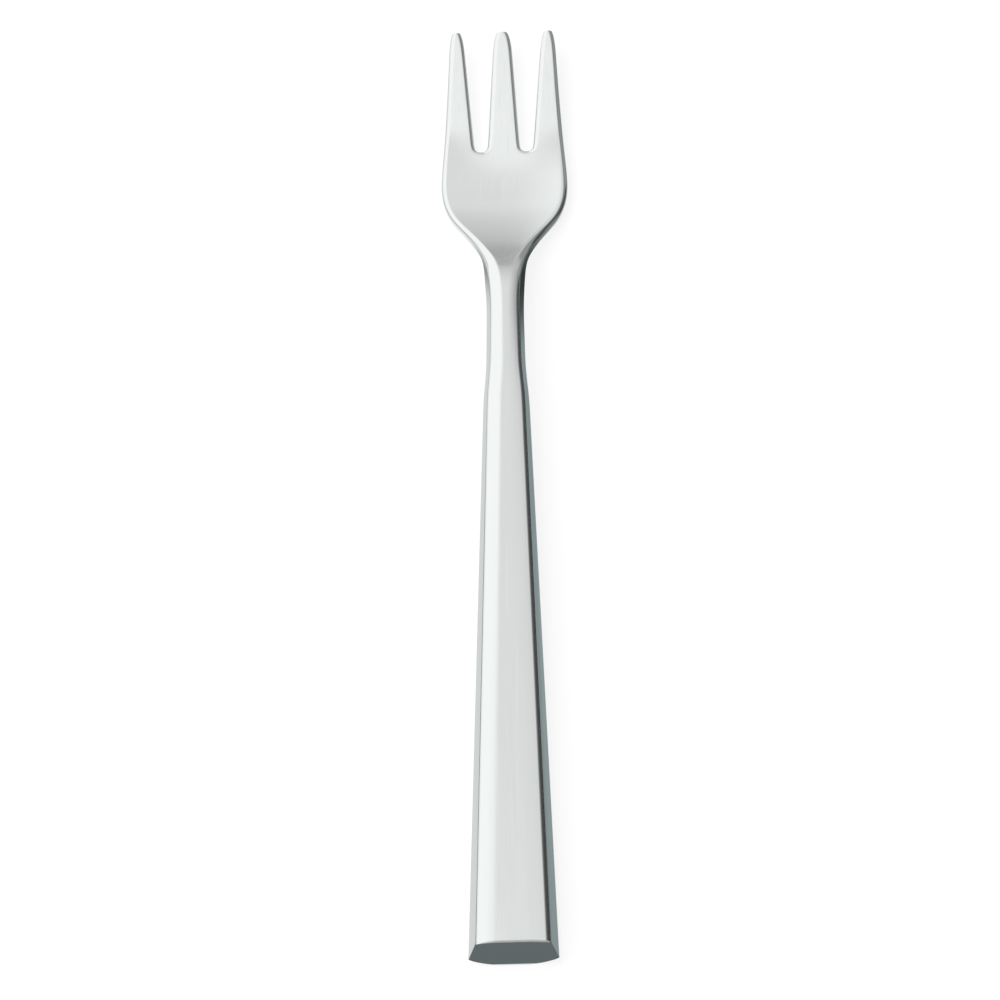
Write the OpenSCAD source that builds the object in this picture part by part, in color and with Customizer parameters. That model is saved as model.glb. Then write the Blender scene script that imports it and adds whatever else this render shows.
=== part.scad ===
// Oyster fork: a forged three-tined head whose tang is bedded in a hollow, bevelled handle.
// The fork lies on its back as on a table: +Y runs to the tine tips, +X across, +Z up.
// The origin lies on the table under the middle of the fork's length.

/* [Handle] */
// Length of the handle, from the butt to its joint with the head
handle_l = 85; // [75:1:105]
// Width of the butt over its lower corners
butt_w = 13.2; // [12:0.1:15]
// Width of the butt over its upper corners
butt_top_w = 10.7; // [9:0.1:11.5]
// Width of the flat at the butt
butt_flat_w = 5.2; // [3.5:0.1:7]
// Thickness of the butt
butt_t = 5.5; // [4.8:0.1:7.5]
// Height that the bevels fall at the butt
butt_bevel_h = 0.3; // [0.2:0.02:0.6]
// Height of the arched belly at the butt
butt_belly = 1.35; // [0.8:0.05:1.8]
// Lean of the end plate away from upright, in degrees
butt_lean = 15; // [0:1:25]

/* [Joint between handle and head] */
// Width at the joint over the lower corners
joint_w = 7.1; // [6.4:0.1:7.6]
// Width at the joint over the upper corners
joint_top_w = 5.6; // [5.2:0.1:6.2]
// Width of the flat at the joint
joint_flat_w = 1.7; // [1.2:0.1:2.4]
// Thickness at the joint
joint_t = 3.3; // [3:0.05:3.8]
// Height of the flat above the table at the joint
joint_h = 6.8; // [5.5:0.1:8.5]
// Height that the bevels fall at the joint
joint_bevel_h = 0.32; // [0.2:0.02:0.6]
// Height of the arched belly at the joint
joint_belly = 0.75; // [0.5:0.05:0.9]

/* [Handle shells and end plate] */
// Thickness of the pressed shells
shell_t = 0.5; // [0.35:0.05:0.6]
// Thickness of the end plate
plate_t = 0.9; // [0.6:0.05:1.4]
// Chamfer round the outer face of the end plate
plate_chamfer = 0.28; // [0.1:0.01:0.4]
// Length of the spigot that sits inside the shells
spigot_l = 1.2; // [0.8:0.1:2.5]
// Clearance between the pieces that fit inside each other
fit_gap = 0.05; // [0.02:0.01:0.12]

/* [Tang] */
// Length of the tang inside the handle
tang_l = 32; // [20:1:45]
// Width of the tang at the joint
tang_w = 3.6; // [2.8:0.1:4.2]
// Width of the tang at its end
tang_end_w = 2.6; // [2:0.1:3.4]
// Thickness of the tang
tang_t = 1.5; // [1:0.05:1.7]

/* [Neck] */
// Length of the head, from the joint to the tine tips
head_l = 65; // [60:1:72]
// Width of the neck over its lower corners
neck_w = 5.7; // [5:0.1:6.2]
// Width of the neck over its upper corners
neck_top_w = 4.2; // [3.8:0.1:4.8]
// Width of the flat on the neck
neck_flat_w = 1; // [0.6:0.1:1.6]
// Thickness of the neck
neck_t = 3; // [2.6:0.05:3.4]
// Height of the top of the neck above the table
neck_h = 7.15; // [6:0.1:9]
// Height that the bevels fall on the neck
neck_bevel_h = 0.36; // [0.24:0.02:0.5]
// Height of the arched belly of the neck
neck_belly = 0.65; // [0.4:0.05:0.9]

/* [Bowl and tines] */
// Width of the head where it is widest
head_w = 18.7; // [16.8:0.1:20.8]
// Thickness of the bowl
bowl_t = 1.95; // [1.6:0.05:2.4]
// Thickness of the tines at their tips
tip_t = 1.35; // [1:0.05:1.8]
// Height of the top of the tips above the top of the bowl
tip_rise = 2.35; // [1:0.05:5]
// Depth of the bowl across its width
dish_depth = 0.45; // [0.2:0.05:0.8]
// Width of the rounded rim of the bowl
rim_w = 0.95; // [0.8:0.05:1.3]
// Width of the rounded rims of the tines
tine_rim_w = 0.75; // [0.5:0.05:1]
// Length of the slots between the tines
tine_l = 19.2; // [16:0.1:21]
// Width of a slot at its root
slot_root_w = 1.8; // [1.65:0.05:2.2]
// Width of a slot at the tips
slot_tip_w = 4.65; // [4.2:0.05:5]
// Distance between the middles of the two slots at their roots
slot_root_pitch = 6.8; // [6.4:0.05:7.2]
// Distance between the middles of the two slots at the tips
slot_tip_pitch = 7.15; // [6.9:0.05:7.5]
// Radius of the corners at the root of a slot
slot_corner_r = 0.75; // [0.5:0.05:0.8]
// Length over which each tine is rounded to its tip
tip_round_l = 4.5; // [3:0.1:6]

/* [Hidden] */

overall_l = handle_l + head_l;
root_y = overall_l - tine_l;
lean = tan(butt_lean);
plate_y = plate_t / cos(butt_lean);
spigot_y = plate_y + spigot_l;

// Where the seam lies on the side wall, up from the lower corner
seam_share = 0.3;
// How far a tine's width falls at its blunt tip, and the fullness of its rounded end
tip_blunt_share = 0.08;
tip_fullness = 3.2;
// Shares of the head's thickness that its rounded rim takes above and below its edge
rim_drop_share = 0.34;
rim_belly_share = 0.36;
// Width of the rounding under the rim, against the rim's own width
under_rim_share = 1.2;
// Most of a tine's half width that its rim may take
rim_limit_share = 0.85;
// Share of the underside's width that is flat, so that the fork rests without rocking
rest_share = 0.21;

// Places along the head, as shares of its length from the joint
neck_settles_share = 0.34;
shoulder_share = 0.3;
bowl_share = 0.58;
tines_start_share = 0.68;
// Where the neck's bevels narrow to the bowl's rim, the bowl's rim narrows to the tines' rims, and
// the bowl's dish runs out to nothing
bevel_shares = [0.36, 0.46];
tine_rim_shares = [0.6, 0.72];
dish_shares = [0.6, 0.78];

// The head's outline: place along the head, and how far the width has grown from neck to widest
outline_shares = [
    [0.123, 0.013], [0.2, 0.008], [0.277, -0.012], [0.346, 0.026], [0.4, 0.081], [0.43, 0.167],
    [0.46, 0.318], [0.492, 0.526], [0.53, 0.821], [0.57, 0.975], [0.61, 1.019], [0.654, 0.993],
    [0.708, 0.942], [0.8, 0.874], [0.908, 0.812], [1, 0.767]
];
// The head's top line: place along the head, share of the neck's height above the bowl, and share
// of the tips' rise above the bowl
top_line_shares = [
    [0.123, 0.962, 0], [0.2, 0.981, 0], [0.277, 0.998, 0], [0.32, 1.003, 0], [0.345, 0.976, 0],
    [0.365, 0.924, 0], [0.385, 0.79, 0], [0.41, 0.621, 0], [0.435, 0.444, 0], [0.46, 0.299, 0],
    [0.49, 0.148, 0], [0.525, 0.04, 0], [0.565, -0.008, 0], [0.61, 0, 0.039], [0.66, 0, 0.119],
    [0.72, 0, 0.271], [0.8, 0, 0.48], [0.9, 0, 0.74], [1, 0, 1]
];
// Places of the mesh lines in a rim, in from its edge
rim_shares = [0, 0.13, 0.42, 1];
// Places of the rows round a slot's corner, and of the rows that round a tip
corner_shares = [0, 0.1, 0.35, 0.7, 1];
tip_shares = [1, 0.7, 0.45, 0.25, 0.1, 0.03, 0];
// Both lines start with three points on the handle's straight run, this far apart, so that the
// neck leaves the handle smoothly
run_in_share = 0.06;

neck_steps = 26;
tine_steps = 4;
handle_steps = 4;
arc_steps = 10;
lean_steps = 4;
seek_steps = 30;
probe = head_l / 2000;
overrun = shell_t;

// Places of the sizes in a section
half = 0;
edge = 1;
flat = 2;
top = 3;
thick = 4;
drop = 5;
belly = 6;
under = 7;
dish = 8;
roundness = 9;
straight = 10;

function mix(a, b, share) = a + (b - a) * share;

// A smooth step from 0 to 1, with no jump in slope or curvature
function ease(from, to, at) =
    let (s = min(1, max(0, (at - from) / (to - from))))
    s * s * s * (s * (6 * s - 15) + 10);

// A smooth curve (cubic B-spline) that follows a list of points
function spline(points, at) =
    let (i = min(max(floor(at), 1), len(points) - 3), s = at - i)
    (pow(1 - s, 3) * points[i - 1]
        + (3 * pow(s, 3) - 6 * pow(s, 2) + 4) * points[i]
        + (3 * s + 3 * pow(s, 2) - 3 * pow(s, 3) + 1) * points[i + 1]
        + pow(s, 3) * points[i + 2]) / 6;

function seek(points, y, low, high, steps) =
    let (middle = (low + high) / 2)
    steps == 0 ? middle
    : spline(points, middle)[0] < y ? seek(points, y, middle, high, steps - 1)
    : seek(points, y, low, middle, steps - 1);

// The value of a smooth curve at y; its first point is a run-in and its last a run-out
function curve_at(points, y) = spline(points, seek(points, y, 1, len(points) - 2, seek_steps))[1];

function run_out(points) = concat(points, [2 * points[len(points) - 1] - points[len(points) - 2]]);

// How far the arched underside has risen, where s runs from 0 in the middle to 1 at the edge
function arch(s) = pow(max(0, s - rest_share) / (1 - rest_share), 2);

// Sizes of the handle's section at y, which change evenly from butt to joint
function handle_section(y) =
    mix([butt_w / 2, butt_top_w / 2, butt_flat_w / 2, butt_t, butt_t, butt_bevel_h, butt_belly],
        [joint_w / 2, joint_top_w / 2, joint_flat_w / 2, joint_h, joint_t, joint_bevel_h, joint_belly],
        y / handle_l);

run_in_y = [for (side = [-1 : 1]) handle_l + side * run_in_share * head_l];
outline = run_out(concat(
    [for (y = run_in_y) [y, handle_section(y)[half]]],
    [for (s = outline_shares) [handle_l + s[0] * head_l, mix(neck_w, head_w, s[1]) / 2]]));
top_line = run_out(concat(
    [for (y = run_in_y) [y, handle_section(y)[top]]],
    [for (s = top_line_shares)
        [handle_l + s[0] * head_l, bowl_t + (neck_h - bowl_t) * s[1] + tip_rise * s[2]]]));

// Sizes of the head's section at y: the handle's sizes settle into the neck's, then into the bowl's
function head_section(y) =
    let (
        law = handle_section(y),
        into = (y - handle_l) / head_l,
        to_neck = ease(0, neck_settles_share, into),
        to_bowl = ease(shoulder_share, bowl_share, into),
        to_rim = ease(bevel_shares[0], bevel_shares[1], into),
        to_tips = ease(tines_start_share, 1, into),
        half_w = curve_at(outline, y),
        slope = (curve_at(outline, y + probe) - curve_at(outline, y - probe)) / (2 * probe),
        square_on = 1 / sqrt(1 + slope * slope),
        neck_lean = mix(law[half] - law[edge], (neck_w - neck_top_w) / 2, to_neck),
        neck_bevel = mix(law[edge] - law[flat], (neck_top_w - neck_flat_w) / 2, to_neck),
        t = mix(mix(mix(law[thick], neck_t, to_neck), bowl_t, to_bowl), tip_t, to_tips),
        head_rim = mix(rim_w, tine_rim_w, ease(tine_rim_shares[0], tine_rim_shares[1], into)),
        rim = mix(neck_bevel, head_rim, to_rim) / square_on,
        edge_w = half_w - mix(neck_lean, 0, to_bowl)
    )
    [half_w,
        edge_w,
        edge_w - rim,
        curve_at(top_line, y),
        t,
        mix(mix(law[drop], neck_bevel_h, to_neck), t * rim_drop_share, to_bowl),
        mix(mix(law[belly], neck_belly, to_neck), t * rim_belly_share, to_bowl),
        mix(half_w * square_on, head_rim * under_rim_share, to_bowl),
        dish_depth * (to_bowl - ease(dish_shares[0], dish_shares[1], into)),
        to_bowl,
        square_on];

// How much of a tine's width is left at y, from 1 down to its blunt tip
function tip_width(y) =
    let (blunt = tip_blunt_share * tip_round_l,
        s = min(1, (overall_l - y + blunt) / (tip_round_l + blunt)))
    pow(1 - pow(1 - s, tip_fullness), 1 / tip_fullness);

// Middle of a slot across the head, and half of the slot's width, at y
function slot_x(y) = mix(slot_root_pitch, slot_tip_pitch, max(0, y - root_y) / tine_l) / 2;
function slot_half(y) =
    let (w = mix(slot_root_w, slot_tip_w, max(0, y - root_y) / tine_l) / 2,
        in = max(0, slot_corner_r - (y - root_y)))
    w - slot_corner_r + sqrt(max(0, pow(slot_corner_r, 2) - pow(in, 2)));

// Middle and half width of the middle tine, and of an outer tine, at y
function middle_tine(y) = [0, (slot_x(y) - slot_half(y)) * tip_width(y)];
function outer_tine(y) =
    let (inner = slot_x(y) + slot_half(y), outer = curve_at(outline, y))
    [(inner + outer) / 2, (outer - inner) / 2 * tip_width(y)];

function tine_rim(tine) = min(tine_rim_w, rim_limit_share * tine[1]);
function rim_lines(tine, side) =
    [for (s = rim_shares) tine[0] + side * (tine[1] - s * tine_rim(tine))];
function reversed(list) = [for (i = [len(list) - 1 : -1 : 0]) list[i]];

// Places of the mesh lines from the middle of the head to its edge, where there are tines
function tine_lines(y) =
    let (middle = middle_tine(y), outer = outer_tine(y))
    concat([0], reversed(rim_lines(middle, 1)), [slot_x(y)],
        rim_lines(outer, -1), [outer[0]], reversed(rim_lines(outer, 1)));

// The same lines behind the slots, where they close up as the head narrows
root_lines = tine_lines(root_y);
rim_line = len(root_lines) - len(rim_shares);
function palm_lines(section) =
    [for (i = [0 : len(root_lines) - 1])
        i < rim_line ? root_lines[i] * section[flat] / root_lines[rim_line]
        : section[edge] - rim_shares[len(root_lines) - 1 - i] * (section[edge] - section[flat])];

function both_sides(lines) = concat([for (i = [len(lines) - 1 : -1 : 1]) -lines[i]], lines);

// Distance from a point to the rounded root of the nearer slot
function slot_distance(x, y) =
    let (across = max(0, abs(abs(x) - slot_x(root_y)) - slot_half(root_y)),
        along = max(0, root_y + slot_corner_r - y))
    norm([across, along]) - slot_corner_r;

function tine_distance(x, y) =
    let (tine = abs(x) < slot_x(y) ? middle_tine(y) : outer_tine(y),
        behind = abs(x) < slot_x(y) ? middle_tine(y - probe) : outer_tine(y - probe),
        slope = (behind[1] - tine[1]) / probe)
    (tine[1] - abs(abs(x) - tine[0])) / sqrt(1 + slope * slope);

// Distance from a point to the head's nearest edge, where that edge lies at half_w
function rim_distance(x, y, section, half_w) =
    y > root_y + slot_corner_r ? tine_distance(x, y)
    : min((half_w - abs(x)) * section[straight], slot_distance(x, y));

// How far a rounded rim has fallen, where s runs from 0 at its inside to 1 at the edge
function round_fall(s) = 1 - sqrt(max(0, 1 - s * s));
function top_z(x, y, section) =
    let (rim = max(probe, min(rim_at(section), rim_distance(x, y, section, section[edge]))),
        s = 1 - rim / rim_at(section))
    section[top] + section[dish] * pow(x / section[half], 2)
        - section[drop] * mix(s, round_fall(s), section[roundness]);
function rim_at(section) = (section[edge] - section[flat]) * section[straight];

function under_z(x, y, section) =
    let (rim = max(0, min(section[under], rim_distance(x, y, section, section[half]))),
        s = 1 - rim / section[under])
    section[top] - section[thick] + section[dish] * arch(abs(x) / section[half])
        + section[belly] * mix(arch(s), round_fall(s), section[roundness]);

// Rows of the head along y, each with the points of its top sheet and of its under sheet
function head_row(y) =
    let (section = head_section(y),
        lines = both_sides(y > root_y ? tine_lines(y) : palm_lines(section)),
        widen = y > root_y ? 1 : section[half] / section[edge])
    [[for (x = lines) [x, y, top_z(x, y, section)]],
        [for (x = lines) [x * widen, y, under_z(x * widen, y, section)]]];

function handle_middle(y) = handle_section(y)[top] - handle_section(y)[thick] / 2;

function tang_row(y, w) =
    let (lines = both_sides(root_lines), edge_w = root_lines[len(root_lines) - 1])
    [for (side = [1, -1])
        [for (x = lines) [x / edge_w * w / 2, y, handle_middle(y) + side * tang_t / 2]]];

head_y = concat(
    [for (i = [0 : neck_steps - 1]) mix(handle_l, root_y, i / neck_steps)],
    [for (s = corner_shares) root_y + s * slot_corner_r],
    [for (i = [1 : tine_steps])
        mix(root_y + slot_corner_r, overall_l - tip_round_l, i / (tine_steps + 1))],
    [for (s = tip_shares) overall_l - s * tip_round_l]);
head_rows = concat(
    [tang_row(handle_l - tang_l, tang_end_w), tang_row(handle_l, tang_w)],
    [for (y = head_y) head_row(y)]);

// A cell of the head is open where it lies in a slot
slot_line = len(rim_shares) + 1;
middle_line = len(root_lines) - 1;
root_row = neck_steps + 2;
function in_slot(cell) =
    let (from_middle = cell < middle_line ? middle_line - cell - 1 : cell - middle_line)
    from_middle == slot_line - 1 || from_middle == slot_line;
function head_cell(row, cell) = row < root_row || !in_slot(cell);

// Faces of a solid made of two sheets: point [row][line] lies on the top and on the under sheet.
// Both sheets are cut into cells, and a wall joins them wherever a filled cell meets an open one
function sheet_faces(rows, lines, filled) =
    let (
        at = function (row, line, sheet) (row * 2 + sheet) * lines + line,
        full = function (row, cell)
            row >= 0 && row < rows - 1 && cell >= 0 && cell < lines - 1 && filled(row, cell),
        quad = function (a, b, c, d) [[a, b, c], [a, c, d]]
    )
    [for (row = [0 : rows - 1]) for (cell = [0 : lines - 1]) each concat(
        full(row, cell) ? concat(
            quad(at(row, cell, 0), at(row + 1, cell, 0),
                at(row + 1, cell + 1, 0), at(row, cell + 1, 0)),
            quad(at(row, cell, 1), at(row, cell + 1, 1),
                at(row + 1, cell + 1, 1), at(row + 1, cell, 1))) : [],
        full(row, cell) && !full(row, cell - 1) ?
            quad(at(row, cell, 0), at(row, cell, 1), at(row + 1, cell, 1), at(row + 1, cell, 0)) : [],
        full(row, cell - 1) && !full(row, cell) ?
            quad(at(row, cell, 1), at(row, cell, 0), at(row + 1, cell, 0), at(row + 1, cell, 1)) : [],
        full(row, cell) && !full(row - 1, cell) ?
            quad(at(row, cell, 1), at(row, cell, 0), at(row, cell + 1, 0), at(row, cell + 1, 1)) : [],
        full(row - 1, cell) && !full(row, cell) ?
            quad(at(row, cell, 0), at(row, cell, 1), at(row, cell + 1, 1), at(row, cell + 1, 0)) : []
    )];

module two_sheets(rows, filled) {
    lines = len(rows[0][0]);
    polyhedron([for (row = rows) each concat(row[0], row[1])], sheet_faces(len(rows), lines, filled));
}

// Lines round the handle's section, set in by a wall: over the top from seam to seam, and round
// the belly from seam to seam
function seam_point(y, in) =
    let (s = handle_section(y))
    [mix(s[half], s[edge], seam_share) - in,
        mix(s[top] - s[thick] + s[belly], s[top] - s[drop], seam_share)];
upper_line = function (y, in)
    let (s = handle_section(y), seam = seam_point(y, in))
    [[-seam[0], seam[1]],
        [in - s[edge], s[top] - s[drop] - in],
        [-s[flat], s[top] - in],
        [s[flat], s[top] - in],
        [s[edge] - in, s[top] - s[drop] - in],
        seam];
lower_line = function (y, in)
    let (s = handle_section(y), seam = seam_point(y, in))
    [[-seam[0], seam[1]],
        for (i = [0 : arc_steps])
            let (x = mix(in - s[half], s[half] - in, i / arc_steps))
            [x, s[top] - s[thick] + s[belly] * arch(abs(x) / s[half]) + in],
        seam];

// A point of such a line on a plane that crosses the table at y and leans back by the given slope
function leaned(line, i, in, slope, base, y, steps) =
    let (p = line(y, in)[i])
    steps == 0 ? [p[0], y, p[1]] : leaned(line, i, in, slope, base, base + slope * p[1], steps - 1);
function leaned_line(line, in, slope, y) =
    [for (i = [0 : len(line(y, in)) - 1]) leaned(line, i, in, slope, y, y, lean_steps)];

// A pressed shell between the end plate and the joint
module shell(line, outside, inside) {
    rows = [for (i = [0 : handle_steps]) let (s = i / handle_steps, y = mix(plate_y, handle_l, s))
        [leaned_line(line, outside, lean * (1 - s), y), leaned_line(line, inside, lean * (1 - s), y)]];
    two_sheets(rows, function (row, cell) true);
}

// The whole section as one closed ring
function ring(in, slope, y) =
    let (over = leaned_line(upper_line, in, slope, y), round = leaned_line(lower_line, in, slope, y))
    concat(over, [for (i = [len(round) - 2 : -1 : 1]) round[i]]);

// A solid through a list of rings, closed at both ends
module through(rings) {
    n = len(rings[0]);
    last = (len(rings) - 1) * n;
    polyhedron([for (r = rings) each r],
        concat(
            [[for (i = [0 : n - 1]) i]],
            [[for (i = [n - 1 : -1 : 0]) last + i]],
            [for (r = [0 : len(rings) - 2]) for (i = [0 : n - 1])
                let (a = r * n + i, b = r * n + (i + 1) % n)
                each [[a, a + n, b + n], [a, b + n, b]]]));
}

module laid_out() translate([0, -overall_l / 2, 0]) children();

module fork_head() color("silver") laid_out()
    two_sheets(head_rows, function (row, cell) head_cell(row, cell));

module handle_upper_shell() color("gainsboro") laid_out() shell(upper_line, 0, shell_t);

module handle_lower_shell() color("lightgray") laid_out() shell(lower_line, shell_t, 0);

module handle_end_plate() color("silver") laid_out() through([
    ring(plate_chamfer, lean, 0),
    ring(0, lean, plate_chamfer),
    ring(0, lean, plate_y),
    ring(shell_t + fit_gap, lean, plate_y),
    ring(shell_t + fit_gap, lean, spigot_y)
]);

// The room for the tang, with its clearance, open at the joint
module tang_pocket() {
    start = handle_l - tang_l - fit_gap;
    slope = (handle_middle(handle_l) - handle_middle(start)) / (handle_l - start);
    through([for (y = [start, handle_l + overrun])
        let (w = mix(tang_end_w, tang_w, (y - start) / (handle_l - start)) / 2 + fit_gap,
            t = tang_t / 2 + fit_gap, z = handle_middle(start) + slope * (y - start))
        [[-w, y, z - t], [-w, y, z + t], [w, y, z + t], [w, y, z - t]]]);
}

module handle_filler() color("dimgray") laid_out() difference() {
    through([for (i = [0 : handle_steps]) let (s = i / handle_steps)
        ring(shell_t + fit_gap, lean * (1 - s), mix(spigot_y + fit_gap, handle_l - fit_gap, s))]);
    tang_pocket();
}

fork_head();
handle_upper_shell();
handle_lower_shell();
handle_end_plate();
handle_filler();
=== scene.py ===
import math
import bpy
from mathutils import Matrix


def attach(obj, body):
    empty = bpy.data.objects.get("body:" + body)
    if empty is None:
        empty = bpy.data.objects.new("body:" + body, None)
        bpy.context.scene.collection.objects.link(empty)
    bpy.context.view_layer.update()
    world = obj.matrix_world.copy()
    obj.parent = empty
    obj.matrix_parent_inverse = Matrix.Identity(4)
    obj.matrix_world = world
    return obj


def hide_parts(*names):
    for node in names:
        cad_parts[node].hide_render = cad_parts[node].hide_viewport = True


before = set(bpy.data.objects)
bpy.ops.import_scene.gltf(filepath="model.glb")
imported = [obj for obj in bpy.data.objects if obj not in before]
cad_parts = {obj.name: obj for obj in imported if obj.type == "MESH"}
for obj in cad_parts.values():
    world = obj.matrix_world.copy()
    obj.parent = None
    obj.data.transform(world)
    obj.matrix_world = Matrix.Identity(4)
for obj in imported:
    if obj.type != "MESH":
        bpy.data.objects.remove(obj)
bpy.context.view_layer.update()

from types import SimpleNamespace

import bmesh
import bpy
from mathutils import Quaternion, Vector

print("frame loaded:", ", ".join(sorted(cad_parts)))

mm = 0.001  # every size below is in mm, as in the part's source, and turned to metres here

# the camera, fitted to the fork's outline in the photograph
camera = {
    "azimuth": 4.0,  # degrees round from the butt, towards +X
    "elevation": 64.0,
    "distance": 1200.0,
    "target": (0.0, 0.0, 4.0),
    "targetAt": (7.54, 18.7),  # where the target shows, in pixels right of and above the middle
    "roll": 5.14,  # degrees that the picture turns anticlockwise
    "focalPixels": 8201.3,  # focal length, counted in the picture's pixels
    "pictureWidth": 1000.0,
    "sensor": 36.0,  # mm
    "clip": (0.05, 20.0),  # metres
}


def makeCamera():  # it looks at the target, is rolled, and swings until the target shows in its place
    around = math.radians(camera["azimuth"])
    up = math.radians(camera["elevation"])
    back = Vector((math.sin(around) * math.cos(up), -math.cos(around) * math.cos(up), math.sin(up)))
    turn = (-back).to_track_quat("-Z", "Y") @ Quaternion((0, 0, 1), -math.radians(camera["roll"]))
    place = Vector(camera["target"]) + back * camera["distance"]
    perPixel = camera["distance"] / camera["focalPixels"]
    aim = Vector(camera["target"])
    aim -= (turn @ Vector((1, 0, 0))) * camera["targetAt"][0] * perPixel
    aim -= (turn @ Vector((0, 1, 0))) * camera["targetAt"][1] * perPixel
    swing = (-back).rotation_difference(aim - place)
    data = bpy.data.cameras.new("photoCamera")
    data.type = "PERSP"
    data.sensor_width = camera["sensor"]
    data.lens = camera["focalPixels"] / camera["pictureWidth"] * camera["sensor"]
    data.clip_start = camera["clip"][0]
    data.clip_end = camera["clip"][1]
    eye = bpy.data.objects.new("photoCamera", data)
    eye.rotation_mode = "QUATERNION"
    eye.rotation_quaternion = swing @ turn
    eye.location = place * mm
    bpy.context.scene.collection.objects.link(eye)
    bpy.context.scene.camera = eye


makeCamera()
print("camera placed")

# sizes of the handle and the head, the same as the solids'; lengths run from the butt at 0 to the
# tips. A section has half widths at its lower corners, its upper edges and its flat, the height of
# its top, its thickness, how far its bevels drop and how far its belly is arched
buttLean = math.radians(15)  # how far the cut end leans back
handle = {
    "length": 85.0,
    "butt": {"half": 6.6, "edge": 5.35, "flat": 2.6,
             "top": 5.5, "thick": 5.5, "drop": 0.3, "belly": 1.35},
    "joint": {"half": 3.55, "edge": 2.8, "flat": 0.85,
              "top": 6.8, "thick": 3.3, "drop": 0.32, "belly": 0.75},
    "lean": math.tan(buttLean),
    "seamShare": 0.3,  # where the seam lies on the wall, up from the lower corner
    "shell": 0.5,  # how thick the shells are
    "plate": 0.9 / math.cos(buttLean),  # the end plate, measured along the table
    "chamfer": 0.28,
    "chamferSteps": 4,
    "chamferEdge": 0.04,  # a ring this far past the chamfer keeps the shading of the flat clear of it
    "spigot": 1.2,
    "gap": 0.05,  # between the spigot and the shells
    "rows": 24,  # mesh rows along a shell
    "creaseSoft": (0.42, 0.3),  # reach of the soft crease beside the flat, at the butt and the joint
    "edgeRound": (0.62, 0.5),  # reach of the tight edge between bevel and wall
    "lowRound": (0.34, 0.28),  # reach of the rounding at the lower corner
    "bevelTurn": math.radians(2),  # the polished bevels are slightly crowned, by this much each way
}
tang = {"length": 32.0, "endHalf": 1.3, "jointHalf": 1.8, "thick": 1.5}
head = {
    "length": 65.0,
    "neckHalf": 2.85,  # half widths at the neck, as for the handle's sections
    "neckEdge": 2.1,
    "neckFlat": 0.5,
    "neckThick": 3.0,
    "neckTop": 7.15,
    "neckDrop": 0.36,
    "neckBelly": 0.65,
    "widest": 18.7,
    "bowlThick": 1.95,  # from here on, the bowl and the tines
    "tipThick": 1.35,
    "tipRise": 2.35,
    "dish": 0.45,  # how far the bowl's edges stand above its middle
    "rim": 0.95,  # how wide the rounded rims are, round the bowl and along the tines
    "tineRim": 0.75,
    "rimDrop": 0.34,  # shares of the thickness that a rim takes above and below its edge
    "rimBelly": 0.36,
    "underRim": 1.2,  # how much wider the rim is underneath
    "rimLimit": 0.85,  # the most of a tine's half width that a rim takes
    "restShare": 0.21,  # share of the underside's width that is flat
    "neckSettles": 0.34,  # from here on, places along the head as shares of its length
    "shoulder": 0.3,
    "bowl": 0.58,
    "tinesStart": 0.68,
    "tineRimStart": 0.6,
    "tineRimEnd": 0.72,
    "bevelStart": 0.36,
    "bevelEnd": 0.46,
    "dishStart": 0.6,
    "dishEnd": 0.78,
    "runIn": 0.06,  # the curves of the head leave the handle's straight lines within this
}
tines = {
    "length": 19.2,
    "slotRoot": 1.8,  # width of a slot at its root and at the tips
    "slotTip": 4.65,
    "rootPitch": 6.8,  # distance between the two slots' middles, there
    "tipPitch": 7.15,
    "cornerR": 0.75,
    "tipRound": 4.5,  # the tips narrow over this length
    "blunt": 0.08,
    "fullness": 3.2,
}
# places along the head, as shares of its length, with how wide it is there: 0 at the neck, 1 at its
# widest. A least-squares fit to the photograph's outline gave them, with small corrections added
# later, so they weren't chosen by hand
outlineShares = [
    (0.123, 0.013), (0.2, 0.008), (0.277, -0.012), (0.346, 0.026), (0.4, 0.081), (0.43, 0.167),
    (0.46, 0.318), (0.492, 0.526), (0.53, 0.821), (0.57, 0.975), (0.61, 1.019), (0.654, 0.993),
    (0.708, 0.942), (0.8, 0.874), (0.908, 0.812), (1, 0.767),
]
# other places along the head, with how much of the neck's height and of the tips' rise the top has
# there. A least-squares fit gave these too, to slopes read from the photograph's shading down the
# middle of the head, with a straight rise along the tines
topLineShares = [
    (0.123, 0.962, 0), (0.2, 0.981, 0), (0.277, 0.998, 0), (0.32, 1.003, 0), (0.345, 0.976, 0),
    (0.365, 0.924, 0), (0.385, 0.79, 0), (0.41, 0.621, 0), (0.435, 0.444, 0), (0.46, 0.299, 0),
    (0.49, 0.148, 0), (0.525, 0.04, 0), (0.565, -0.008, 0), (0.61, 0, 0.039), (0.66, 0, 0.119),
    (0.72, 0, 0.271), (0.8, 0, 0.48), (0.9, 0, 0.74), (1, 0, 1),
]
overall = handle["length"] + head["length"]
rootY = overall - tines["length"]
probe = head["length"] / 2000  # a short step along the fork, to find slopes with
halvings = 36  # enough to find a place on a curve exactly


def mix(a, b, share):
    return a + (b - a) * share


def ease(start, end, at):  # smooth step with no jump in slope or curvature
    s = min(1, max(0, (at - start) / (end - start)))
    return s * s * s * (s * (6 * s - 15) + 10)


def splineAt(points, at):  # an even cubic B-spline through the run of the points
    i = min(max(math.floor(at), 1), len(points) - 3)
    s = at - i
    weights = ((1 - s) ** 3, 3 * s**3 - 6 * s**2 + 4, 3 * s + 3 * s**2 - 3 * s**3 + 1, s**3)
    picked = points[i - 1:i + 3]
    return [sum(w * p[k] for w, p in zip(weights, picked)) / 6 for k in (0, 1)]


def curveAt(points, y):  # the curve's height where its length is y
    low, high = 1, len(points) - 2
    for _ in range(halvings):
        middle = (low + high) / 2
        if splineAt(points, middle)[0] < y:
            low = middle
        else:
            high = middle
    return splineAt(points, low)[1]


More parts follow.
